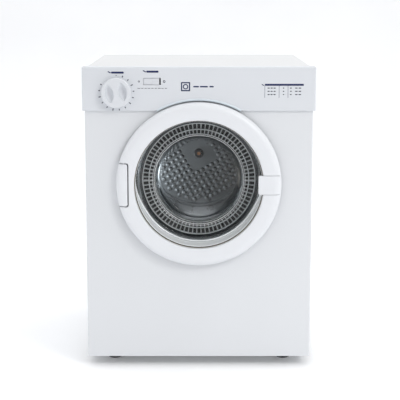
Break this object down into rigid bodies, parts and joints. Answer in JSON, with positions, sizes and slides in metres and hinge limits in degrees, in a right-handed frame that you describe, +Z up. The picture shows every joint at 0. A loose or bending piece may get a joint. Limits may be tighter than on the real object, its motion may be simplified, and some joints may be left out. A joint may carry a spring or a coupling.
{
  "type": "clothes dryer",
  "caption": "Compact front-loading vented tumble dryer with round glass door, ring lint filter, drum, belt drive, timer knob and heat rocker.",
  "frame": {"origin": "on the floor under the middle of the machine's bounding box", "axes": "+Z up, the door faces -Y, +X is to the right seen from the front"},
  "size_m": [0.5, 0.498, 0.662],
  "materials": {
    "white_enamel": "satin white enamel on steel",
    "white_plastic": "satin moulded plastic",
    "worktop_laminate": "matt laminate board",
    "clear_plastic": "clear moulded",
    "grey_plastic": "fine texture",
    "filter_plastic": "fine texture",
    "black_plastic": "moulded",
    "duct_plastic": "moulded",
    "galvanised": "zinc coated sheet",
    "drum_steel": "dull pressed sheet",
    "bright_steel": "turned or drawn",
    "copper": "plated screw",
    "bearing_bronze": "sintered",
    "motor_steel": "laminated core and shields",
    "capacitor_can": "drawn can",
    "element_sheath": "oxidised sheath",
    "thermostat_body": "phenolic",
    "felt": "pressed wool",
    "slide_pad": "low friction",
    "rubber": "soft",
    "filter_cloth": "fine mesh"
  },
  "bodies": {
    "cabinet": {"front_panel": "white_enamel", "cabinet_wrap": "white_enamel", "control_facia": "white_plastic", "hinge_block": "white_plastic", "rocker_housing": "white_plastic", "worktop": "worktop_laminate", "door_switch_body": "black_plastic", "latch_body": "black_plastic", "terminal_block": "black_plastic", "timer_body": "black_plastic", "front_air_duct": "duct_plastic", "fan_housing": "duct_plastic", "exhaust_duct": "duct_plastic", "vent_spigot": "duct_plastic", "base_tray": "galvanised", "back_panel": "galvanised", "front_bulkhead": "galvanised", "rear_bulkhead": "galvanised", "heater_housing": "galvanised", "hinge_bracket": "galvanised", "bearing_housing": "galvanised", "motor_bracket": "galvanised", "hinge_pin": "bright_steel", "panel_screws": "bright_steel", "idler_spring": "bright_steel", "drum_bearing": "bearing_bronze", "motor_stator": "motor_steel", "motor_capacitor": "capacitor_can", "heater_element": "element_sheath", "thermostats": "thermostat_body", "drum_front_felt": "felt", "drum_rear_felt": "felt", "drum_slide_pads": "slide_pad", "feet": "rubber", "drive_belt": "rubber", "cable_gland": "rubber"},
    "door": {"door_ring": "white_plastic", "door_window": "clear_plastic", "door_inner_frame": "white_plastic", "door_handle": "white_plastic", "door_seal": "rubber", "door_striker": "bright_steel"},
    "filter": {"filter_frame": "filter_plastic", "filter_mesh": "filter_cloth"},
    "drum": {"drum_shell": "drum_steel", "drum_back": "drum_steel", "drum_lifters": "grey_plastic", "drum_shaft": "bright_steel", "drum_hub_washer": "black_plastic", "drum_hub_screw": "copper"},
    "motor": {"motor_rotor": "bright_steel", "motor_pulley": "bright_steel", "fan_impeller": "black_plastic"},
    "tensioner": {"idler_arm": "galvanised"},
    "idler": {"idler_pulley": "black_plastic"},
    "timer": {"timer_knob": "white_plastic", "timer_shaft": "bright_steel"},
    "heat_switch": {"heat_rocker": "white_plastic"},
    "door_switch": {"door_switch_plunger": "black_plastic"}
  },
  "joints": [
    {"name": "door_hinge", "type": "hinge", "parent": "cabinet", "child": "door", "pos_m": [-0.161, -0.2415, 0.409], "axis": [0, 0, -1], "range_deg": [0, 120]},
    {"name": "filter_pull", "type": "slide", "parent": "door", "child": "filter", "axis": [0, 1, 0], "range_m": [0, 0.04]},
    {"name": "drum_spin", "type": "hinge", "parent": "cabinet", "child": "drum", "pos_m": [0, 0, 0.419], "axis": [0, 1, 0], "continuous": true},
    {"name": "motor_spin", "type": "hinge", "parent": "cabinet", "child": "motor", "pos_m": [-0.095, 0, 0.118], "axis": [0, 1, 0], "continuous": true},
    {"name": "tensioner_swing", "type": "hinge", "parent": "cabinet", "child": "tensioner", "pos_m": [-0.028, 0.1115, 0.06], "axis": [0, 1, 0], "range_deg": [0, 10], "stiffness_Nm_per_rad": 3, "springref_deg": -11.46},
    {"name": "idler_spin", "type": "hinge", "parent": "tensioner", "child": "idler", "pos_m": [-0.03015, 0.094, 0.12701], "axis": [0, 1, 0], "continuous": true},
    {"name": "timer_turn", "type": "hinge", "parent": "cabinet", "child": "timer", "pos_m": [-0.1763, -0.239, 0.6072], "axis": [0, 1, 0], "range_deg": [0, 300]},
    {"name": "heat_rocker_tilt", "type": "hinge", "parent": "cabinet", "child": "heat_switch", "pos_m": [-0.1, -0.222, 0.631], "axis": [0, 0, 1], "range_deg": [0, 16]},
    {"name": "door_switch_press", "type": "slide", "parent": "cabinet", "child": "door_switch", "axis": [0, -1, 0], "range_m": [0, 0.004]}
  ],
  "couplings": [
    {"joint": "motor_spin", "follows": "drum_spin", "ratio": 25.94},
    {"joint": "idler_spin", "follows": "drum_spin", "ratio": -13.307},
    {"joint": "door_switch_press", "follows": "door_hinge", "m_per_rad": 0.0019}
  ]
}
